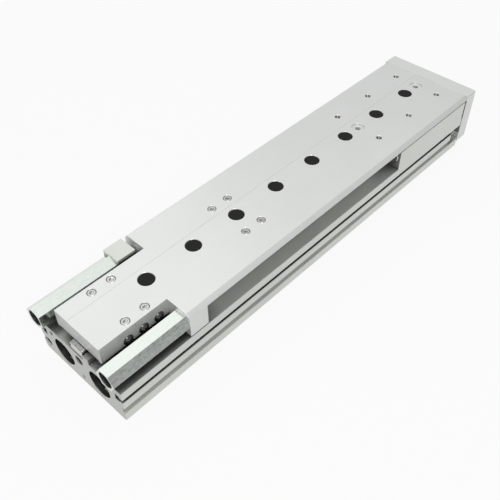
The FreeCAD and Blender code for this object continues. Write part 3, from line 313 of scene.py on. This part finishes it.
zinc_steel = drawn_metal("zinc_plated_hexagon_bar", "#cad1ca", "#d5dbd5", 0.18, 1.5, 3)
ground_steel = drawn_metal("hardened_ground_steel", "#b4b4b2", "#cbcbc9", 0.20, 0.3, 20)
spring_steel = drawn_metal("phosphated_spring_steel", "#2c2b29", "#3d3c39", 0.38, 0.4, 4)
bronze = drawn_metal("turned_bearing_bronze", "#8f6a33", "#b48c4c", 0.30, 0.3, 3)
# two copies of one thread finish: a dark one with painted shade, a lighter lit one
shaded_thread = drawn_metal("shaded_thread_flank", "#30302e", "#444441", 0.35, 0.3, 2)
lit_thread = drawn_metal("lit_thread_flank", "#777875", "#8f908d", 0.30, 0.3, 2)
print("metal finishes:", zinc_steel.name, ground_steel.name, spring_steel.name, bronze.name,
      shaded_thread.name, lit_thread.name)

# %% [markdown]
# ## Black steel, nylon and rubber
# The side screws are blackened steel, a thin oxide that is dark but shines, and the rear caps are aluminium
# anodised black. The plugs and carriage end caps are moulded nylon, matt with a very fine spark-eroded grain,
# and the seals are nitrile rubber. Oxide, nylon and rubber all hide the metal mirror, so they are plain
# dielectrics with grain in tone and relief, and the shine is set for each.

# %% Black finishes
SPECK_LOW, SPECK_HIGH = 0.35, 0.65    # values of the noise that take the dark and the light tone


def grained_black(name, dark, light, roughness, grain, depth, shine):
    """A black surface with a fine even grain."""
    finish, tree, shader, point = new_finish(name)
    speck = add(tree, "ShaderNodeTexNoise", {"Vector": point, "Scale": 1 / grain, "Detail": 3.0})
    ramp = add(tree, "ShaderNodeValToRGB", {"Fac": speck.outputs[0]})
    ramp.color_ramp.elements[0].position = SPECK_LOW
    ramp.color_ramp.elements[1].position = SPECK_HIGH
    ramp.color_ramp.elements[0].color = linear(dark)
    ramp.color_ramp.elements[1].color = linear(light)
    gloss = add(tree, "ShaderNodeMapRange", {"Value": speck.outputs[0],
                                             "From Min": NOISE_LOW, "From Max": NOISE_HIGH,
                                             "To Min": roughness - GLOSS_SPREAD,
                                             "To Max": roughness + GLOSS_SPREAD})
    relief = add(tree, "ShaderNodeBump", {"Height": speck.outputs[0], "Strength": 0.3,
                                          "Distance": depth * MM})
    shader.inputs["Specular IOR Level"].default_value = shine
    tree.links.new(ramp.outputs[0], shader.inputs["Base Color"])
    tree.links.new(gloss.outputs[0], shader.inputs["Roughness"])
    tree.links.new(relief.outputs[0], shader.inputs["Normal"])
    return finish


black_steel = grained_black("blackened_steel", "#11110f", "#1a1a17", 0.2, 0.5, 0.001, 0.9)
black_aluminium = grained_black("black_anodised_aluminium", "#0b0b0b", "#121212", 0.5, 0.6, 0.01, 0.15)
black_nylon = grained_black("moulded_black_nylon", "#10100f", "#181817", 0.6, 0.4, 0.04, 0.2)
black_rubber = grained_black("moulded_nitrile_rubber", "#141414", "#1d1d1d", 0.7, 0.8, 0.05, 0.3)
print("black finishes:", black_steel.name, black_aluminium.name, black_nylon.name, black_rubber.name)

# %% [markdown]
# ## Every solid gets its finish
# The record says what each solid is made of, so one table from its slot to a finish dresses them all.
# The ground table, the milled yoke and the turned pistons then take their own kind of aluminium.

# %% Give every solid its finish
finish_of_slot = {
    "anodised_aluminium": extruded_aluminium, "black_aluminium": black_aluminium,
    "plated_steel": zinc_steel, "ground_steel": ground_steel, "spring_steel": spring_steel,
    "black_oxide_steel": black_steel, "black_nylon": black_nylon, "nitrile_rubber": black_rubber,
    "bearing_bronze": bronze,
}
own_finish = {"table": ground_aluminium, "yoke_plate": milled_aluminium}
own_finish.update({f"{side}_piston": turned_aluminium for side in ("left", "right")})
finish_of_node = {node: own_finish.get(node, finish_of_slot[slot]) for node, slot in slot_of_node.items()}
for node, finish in finish_of_node.items():
    nodes[node].data.materials.clear()
    nodes[node].data.materials.append(finish)
print(f"{len(finish_of_node)} solids dressed")

# %% [markdown]
# ## Broken edges
# No machined edge is perfectly sharp: a deburring pass leaves a narrow chamfer that catches the light as
# a thin bright line. Each visible solid is copied, its triangles are joined back into whole faces, and its
# outside edges get that chamfer. A bevel shader node would only fake it; a real chamfer shows from every
# side. Weighted normals keep each large face flat, and only the narrow chamfer turns the light. The hexagon
# bar of the sleeves is drawn with crisp edges, so only its turned mouths are broken.

# %% Break the edges of the visible solids
SHARP = math.radians(28)    # edges that turn more than this are real edges, not facets of a curve
FLAT = math.radians(0.5)    # triangles that turn less than this are one face
SAME_POINT = 1e-6           # m
ON_MOUTH = 0.02             # mm within which a point counts as on a mouth's circle
UNDER_MOUTH = 0.05          # mm below its mouth where a tapped hole's wall starts


def set_in(name, mesh, node):
    """Put a mesh in the scene as a piece that moves with a solid's body and has its material slot."""
    piece = bpy.data.objects.new(name, mesh)
    bpy.context.scene.collection.objects.link(piece)
    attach(piece, body_of_node[node])
    return piece


def with_broken_edges(node, width_mm, mouths=(), taps=()):
    """Stand a copy of a solid in its place, with chamfers. Sizes are in mm.

    A mouth is (centre, radius, width) and a tap is (centre, direction inward, radius) of a tapped hole.
    """
    mesh = bpy.data.meshes.new(f"{node}_finished")
    shape = bmesh.new()
    shape.from_mesh(nodes[node].data)
    bmesh.ops.remove_doubles(shape, verts=shape.verts, dist=SAME_POINT)
    bmesh.ops.dissolve_limit(shape, angle_limit=FLAT, verts=shape.verts, edges=shape.edges)
    width_of = {}
    for edge in shape.edges:
        if edge.is_manifold and edge.calc_face_angle_signed() > SHARP:
            if width_mm:
                width_of[edge] = width_mm
            for centre, radius, width in mouths:
                reaches = [(vert.co / MM - Vector(centre)).length for vert in edge.verts]
                if all(abs(reach - radius) < ON_MOUTH for reach in reaches):
                    width_of[edge] = width
    for width in sorted(set(width_of.values()), reverse=True):
        edges = [edge for edge, own in width_of.items() if own == width and edge.is_valid]
        bmesh.ops.bevel(shape, geom=edges, offset=width * MM, offset_type="OFFSET", segments=1,
                        profile=0.5, affect="EDGES", clamp_overlap=False, loop_slide=True, material=-1)
    bmesh.ops.dissolve_degenerate(shape, edges=shape.edges, dist=SAME_POINT)
    for face in shape.faces:
        face.smooth = True
        for centre, inward, radius in taps:
            reach = face.calc_center_median() / MM - Vector(centre)
            depth = reach.dot(Vector(inward))
            if depth > UNDER_MOUTH and (reach - Vector(inward) * depth).length < radius:
                face.material_index = 1
    for edge in shape.edges:
        edge.smooth = edge.is_manifold and edge.calc_face_angle() < SHARP
    shape.to_mesh(mesh)
    shape.free()
    mesh.materials.append(finish_of_node[node])
    if taps:
        # tapped walls take the lighter lit copy in the table and the dark copy with painted shade elsewhere
        mesh.materials.append(lit_thread if node == "table" else shaded_thread)
    piece = set_in(f"{node}_finished", mesh, node)
    piece.modifiers.new("flat faces stay flat", "WEIGHTED_NORMAL").keep_sharp = True
    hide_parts(node)


print("ready to break edges that turn more than", round(math.degrees(SHARP)), "degrees")

# %% [markdown]
# ## Widths of the chamfers
# Most edges are only deburred, about a quarter of a millimetre. Mouths of bores and threads get a
# countersink, so that a screw or a seal enters easily, and the noses of the pins are turned rounder. Tapped
# walls are marked here too, because they take a thread finish: the dark copy with painted shade in the
# ports, the lighter lit copy in the load holes. Picking edges by hand in the viewport would do it once;
# sizes in a table can be read and changed.

# %% Break the edges by their widths
REAR_FACE, TABLE_TOP, BAND_TOP = -183.5, 50.0, 49.85    # mm
STOP_ACROSS, STOP_HEIGHT, STOP_RADIUS = 33.2, 39.5, 5.75    # mm to a stop sleeve's axis, and its bore
RETRACTION_REAR, EXTENSION_REAR = -188.0, -186.6    # mm along X to the open ends of the sleeves
PORT_DEPTH, CENTRING_DEPTH = 0.7, 1.2    # mm that the seats of ports and centring bores are sunk
THREAD_RADIUS = 2.1    # mm, the core of the load threads and the air ports
PLUG_RADIUS = 5.65     # mm, the seat of a plug
FIRST_PLUG, PLUG_PITCH, PLUGS = -126, 40, 8    # mm along X, mm apart, and how many
air_ports = [(35.8, 9.4), (0.0, 23.0)]
load_holes = [(along, across) for along in (90, 130, 170) for across in (-20, 20)]
centring_holes = [(90, 0), (170, 0)]
mouths_of = {
    "housing": [((REAR_FACE, side * BORE_AXIS[0], BORE_AXIS[1]), BORE_RADIUS, 0.6) for side in (-1, 1)]
    + [((REAR_FACE + PORT_DEPTH, across, height), THREAD_RADIUS, 0.9) for across, height in air_ports],
    "table": [((along, across, TABLE_TOP), THREAD_RADIUS, 0.5) for along, across in load_holes]
    + [((along, across, BAND_TOP - CENTRING_DEPTH), THREAD_RADIUS, 0.4) for along, across in centring_holes]
    + [((FIRST_PLUG + PLUG_PITCH * step, 0, BAND_TOP), PLUG_RADIUS, 0.25) for step in range(PLUGS)],
    "retraction_stop_sleeve": [((RETRACTION_REAR, STOP_ACROSS, STOP_HEIGHT), STOP_RADIUS, 0.3)],
    "extension_stop_sleeve": [((EXTENSION_REAR, -STOP_ACROSS, STOP_HEIGHT), STOP_RADIUS, 0.3)],
}
DOWN, FORWARD = (0, 0, -1), (1, 0, 0)
taps_of = {
    "housing": [((REAR_FACE + PORT_DEPTH, across, height), FORWARD, 3.1) for across, height in air_ports],
    "table": [((along, across, TABLE_TOP - 0.4), DOWN, 2.2) for along, across in load_holes],
}
edge_widths = {
    "housing": 0.25, "table": 0.25, "yoke_plate": 0.25, "guide_rail": 0.2, "stop_pad": 0.5,
    "retraction_stop_sleeve": 0, "extension_stop_sleeve": 0,
    "retraction_cushion_pin": 0.5, "extension_cushion_pin": 0.5,
    "carriage_screws": 0.25, "yoke_screws": 0.25, "rod_screws": 0.25, "side_clamp_screws": 0.15,
    "left_rear_cap": 0.4, "right_rear_cap": 0.4,
}
for node, width in edge_widths.items():
    with_broken_edges(node, width, mouths_of.get(node, ()), taps_of.get(node, ()))
print("edges broken on", ", ".join(edge_widths))

# %% [markdown]
# ## Threads
# The load holes, the air ports and the stop sleeves are tapped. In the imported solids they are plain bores, so
# the ridge of each thread is wound here: a small triangle swept down a helix against the bore's wall. A bump
# texture would be flat at the mouth, where a thread is seen best. The ridge starts a little below the mouth,
# where the countersink ends.

# %% Wind the threads
STEPS = 24            # steps in a turn
FLANK = 0.45          # share of the pitch from the ridge's crest to its foot
SUNK = 0.02           # mm that the foot lies inside the wall


def wind(shape, mouth, inward, radius, pitch, length, height):
    """Add one closed ridge to a mesh, from its mouth inward, with sizes in mm."""
    inward = Vector(inward)
    side = inward.orthogonal().normalized()
    up = inward.cross(side)
    rings = []
    for step in range(round(length / pitch * STEPS) + 1):
        turn = 2 * math.pi * step / STEPS
        out = side * math.cos(turn) + up * math.sin(turn)
        middle = Vector(mouth) + inward * pitch * (step / STEPS + FLANK)
        profile = ((radius + SUNK, -FLANK), (radius - height, 0), (radius + SUNK, FLANK))
        rings.append([shape.verts.new((middle + out * reach + inward * pitch * shift) * MM)
                      for reach, shift in profile])
    for near, far in zip(rings, rings[1:]):
        for corner in range(3):
            shape.faces.new((near[corner], near[corner - 1], far[corner - 1], far[corner]))
    shape.faces.new(rings[0])
    shape.faces.new(rings[-1][::-1])


def thread_piece(name, node, bores, finish):
    """Make one piece of all the threads in a solid."""
    mesh = bpy.data.meshes.new(name)
    shape = bmesh.new()
    for bore in bores:
        wind(shape, *bore)
    bmesh.ops.recalc_face_normals(shape, faces=shape.faces)
    shape.to_mesh(mesh)
    shape.free()
    mesh.materials.append(finish)
    set_in(name, mesh, node)
    print(name, len(mesh.vertices), "points")


PITCH, RIDGE, START = 0.8, 0.25, 0.5    # mm, M5 in load holes and ports; the start is below the mouth
SLEEVE_PITCH, SLEEVE_RIDGE, SLEEVE_START = 1.0, 0.35, 0.6    # mm, the fine thread of the sleeves
LOAD_LENGTH, PORT_LENGTH, SLEEVE_LENGTH = 8.8, 5.6, 14.0     # mm that each thread goes in
tapped = [((along, across, TABLE_TOP - START), DOWN, THREAD_RADIUS, PITCH, LOAD_LENGTH, RIDGE)
          for along, across in load_holes]
thread_piece("load_threads", "table", tapped, lit_thread)
port_start = REAR_FACE + PORT_DEPTH + START
ported = [((port_start, across, height), FORWARD, THREAD_RADIUS, PITCH, PORT_LENGTH, RIDGE)
          for across, height in air_ports]
thread_piece("air_port_threads", "housing", ported, shaded_thread)
for stop, rear, across in (("retraction", RETRACTION_REAR, STOP_ACROSS),
                           ("extension", EXTENSION_REAR, -STOP_ACROSS)):
    bore = ((rear + SLEEVE_START, across, STOP_HEIGHT), FORWARD, STOP_RADIUS,
            SLEEVE_PITCH, SLEEVE_LENGTH, SLEEVE_RIDGE)
    thread_piece(f"{stop}_sleeve_thread", f"{stop}_stop_sleeve", [bore], shaded_thread)

# %% [markdown]
# ## The cushion springs
# Behind each cushion pin sits a coil spring, which shortens when the pin is pushed in. Here each coil is
# only copied into a piece of its own that moves with the spring's body, and the imported solid is hidden.
# A stiff copy like this would run through the pin's head, and a shape key would need a driver.

# %% Copy the cushion springs
for stop, across in (("retraction", STOP_ACROSS), ("extension", -STOP_ACROSS)):
    node = f"{stop}_cushion_spring"
    coil = set_in(f"{stop}_spring_coil", nodes[node].data.copy(), node)
    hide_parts(node)
    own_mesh(coil)

# %% [markdown]
# ## Camera
# The portrait looks down on the rear right corner. The place comes from fitting a pinhole camera to the
# row of plugs and the table edges, and the lens is a normal one. The camera aims at a point on the table top,
# and a small roll levels the picture as the photograph has it.

# %% Set the camera
CAMERA_PLACE = Vector((-283.4, -238.5, 364.6)) * MM
AIM = Vector((-64.2, -29.9, 50.0)) * MM
LENS = 48.87          # mm on the default 36 mm sensor
ROLL = math.radians(-0.37)
lens = bpy.data.cameras.new("portrait lens")
lens.lens = LENS
camera = bpy.data.objects.new("portrait camera", lens)
bpy.context.scene.collection.objects.link(camera)
look = (AIM - CAMERA_PLACE).to_track_quat("-Z", "Y") @ Quaternion((0, 0, 1), ROLL)
camera.location = CAMERA_PLACE
camera.rotation_mode = "QUATERNION"
camera.rotation_quaternion = look
lens.clip_start = 0.01
bpy.context.scene.camera = camera
print(f"camera {(AIM - CAMERA_PLACE).length * 1000:.0f} mm from its aim")

# %% [markdown]
# ## White studio
# The slide lies on white card in a pale room. The floor shows itself to the camera and in the metal partly
# by its own brightness, so that it stays white, and partly by the light that falls on it, so that it keeps
# the shadow. Metal shows its surroundings: with one even grey all its faces would look alike, so the room
# runs from darker walls to a bright ceiling, and three soft lamps give some faces their sheen. The left lamp
# lies in the table top's mirror, the rear strip in the mirror of the chamfers, and the key lamp by the camera
# puts the small highlights on the domed screws.

# %% Lay the floor
FLOOR_SIZE = 40.0     # m, so that its edge lies near the horizon from every side
FLOOR_GLOW = 0.9      # share of its own brightness, against the light that falls on it
FLOOR_GAP = 0.2       # mm under the base, so that the two faces don't fight
CARD_GREY = "#c4c4c4"  # what the card sends back as light, kept down so that the sides don't wash out
mesh = bpy.data.meshes.new("white_card")
half = FLOOR_SIZE / 2
corners = [(-half, -half, 0), (half, -half, 0), (half, half, 0), (-half, half, 0)]
mesh.from_pydata(corners, [], [(0, 1, 2, 3)])
floor = bpy.data.objects.new("white_card", mesh)
floor.location.z = solid_low.z - FLOOR_GAP * MM
bpy.context.scene.collection.objects.link(floor)

card = bpy.data.materials.new("white_card")
card.use_nodes = True
tree = card.node_tree
tree.nodes.clear()
lit = add(tree, "ShaderNodeBsdfDiffuse", {"Color": linear(CARD_GREY)})
glow = add(tree, "ShaderNodeEmission", {"Color": linear("#ffffff"), "Strength": 1.0})
path = add(tree, "ShaderNodeLightPath")
seen = add(tree, "ShaderNodeMath", {0: path.outputs["Is Camera Ray"], 1: path.outputs["Is Glossy Ray"]},
           operation="MAXIMUM")
seen = add(tree, "ShaderNodeMath", {0: seen.outputs[0], 1: path.outputs["Is Transmission Ray"]},
           operation="MAXIMUM")
share = add(tree, "ShaderNodeMath", {0: seen.outputs[0], 1: FLOOR_GLOW}, operation="MULTIPLY")
both = add(tree, "ShaderNodeMixShader", {0: share.outputs[0], 1: lit.outputs[0], 2: glow.outputs[0]})
add(tree, "ShaderNodeOutputMaterial", {"Surface": both.outputs[0]})
floor.data.materials.append(card)
print(f"{FLOOR_SIZE:.0f} m of white card laid")

# %% [markdown]
# ### The room
# A room could be built of walls and a ceiling, or be a picture of a studio wrapped round the scene. A world
# whose strength rises with the height of the view gives the same soft change and needs neither.

# %% Light the room
HORIZON = 0.30        # strength of the walls of the room, seen level
CEILING = 1.29        # strength of the bright ceiling
SKY_RISE = 1.6        # power that keeps the walls dark for longer on the way up
world = bpy.data.worlds.new("white room")
bpy.context.scene.world = world
world.use_nodes = True
tree = world.node_tree
direction = add(tree, "ShaderNodeTexCoord").outputs["Generated"]
height = add(tree, "ShaderNodeSeparateXYZ", {0: direction}).outputs["Z"]
rise = add(tree, "ShaderNodeMath", {0: height, 1: SKY_RISE}, operation="POWER", use_clamp=True)
sky = add(tree, "ShaderNodeMapRange", {"Value": rise.outputs[0], "To Min": HORIZON, "To Max": CEILING})
room = tree.nodes["Background"]
room.inputs["Color"].default_value = linear("#ffffff")
tree.links.new(sky.outputs[0], room.inputs["Strength"])
print(f"room from {HORIZON} at the walls to {CEILING} at the ceiling")

# %% [markdown]
# ### The lamps
# Real soft lamps are boxes with a cloth front, so area lamps of that size serve. Their power is low, because
# most of the light comes from the room: a lamp only has to be brighter than the room where a face mirrors it.

# %% Hang the lamps
def soft_lamp(name, place_mm, aim_mm, length_mm, width_mm, power):
    """Hang a soft lamp and point it; its length lies level."""
    lamp = bpy.data.lights.new(name, "AREA")
    lamp.shape = "RECTANGLE"
    lamp.size = length_mm * MM
    lamp.size_y = width_mm * MM
    lamp.energy = power
    hung = bpy.data.objects.new(name, lamp)
    hung.location = Vector(place_mm) * MM
    aim = Vector(aim_mm) * MM - hung.location
    hung.rotation_mode = "QUATERNION"
    hung.rotation_quaternion = aim.to_track_quat("-Z", "Y")
    bpy.context.scene.collection.objects.link(hung)
    print(f"{name}: {power} W from {length_mm} by {width_mm} mm")


soft_lamp("left lamp", (180, 644, 769), (-80, 0, 50), 600, 600, 0.48)
soft_lamp("rear strip lamp", (-600, 200, 680), (-100, 0, 45), 500, 100, 0.78)
soft_lamp("key lamp", (-352, -549, 706), (-100, 0, 40), 300, 300, 2.6)
bpy.context.scene.view_settings.view_transform = "Standard"
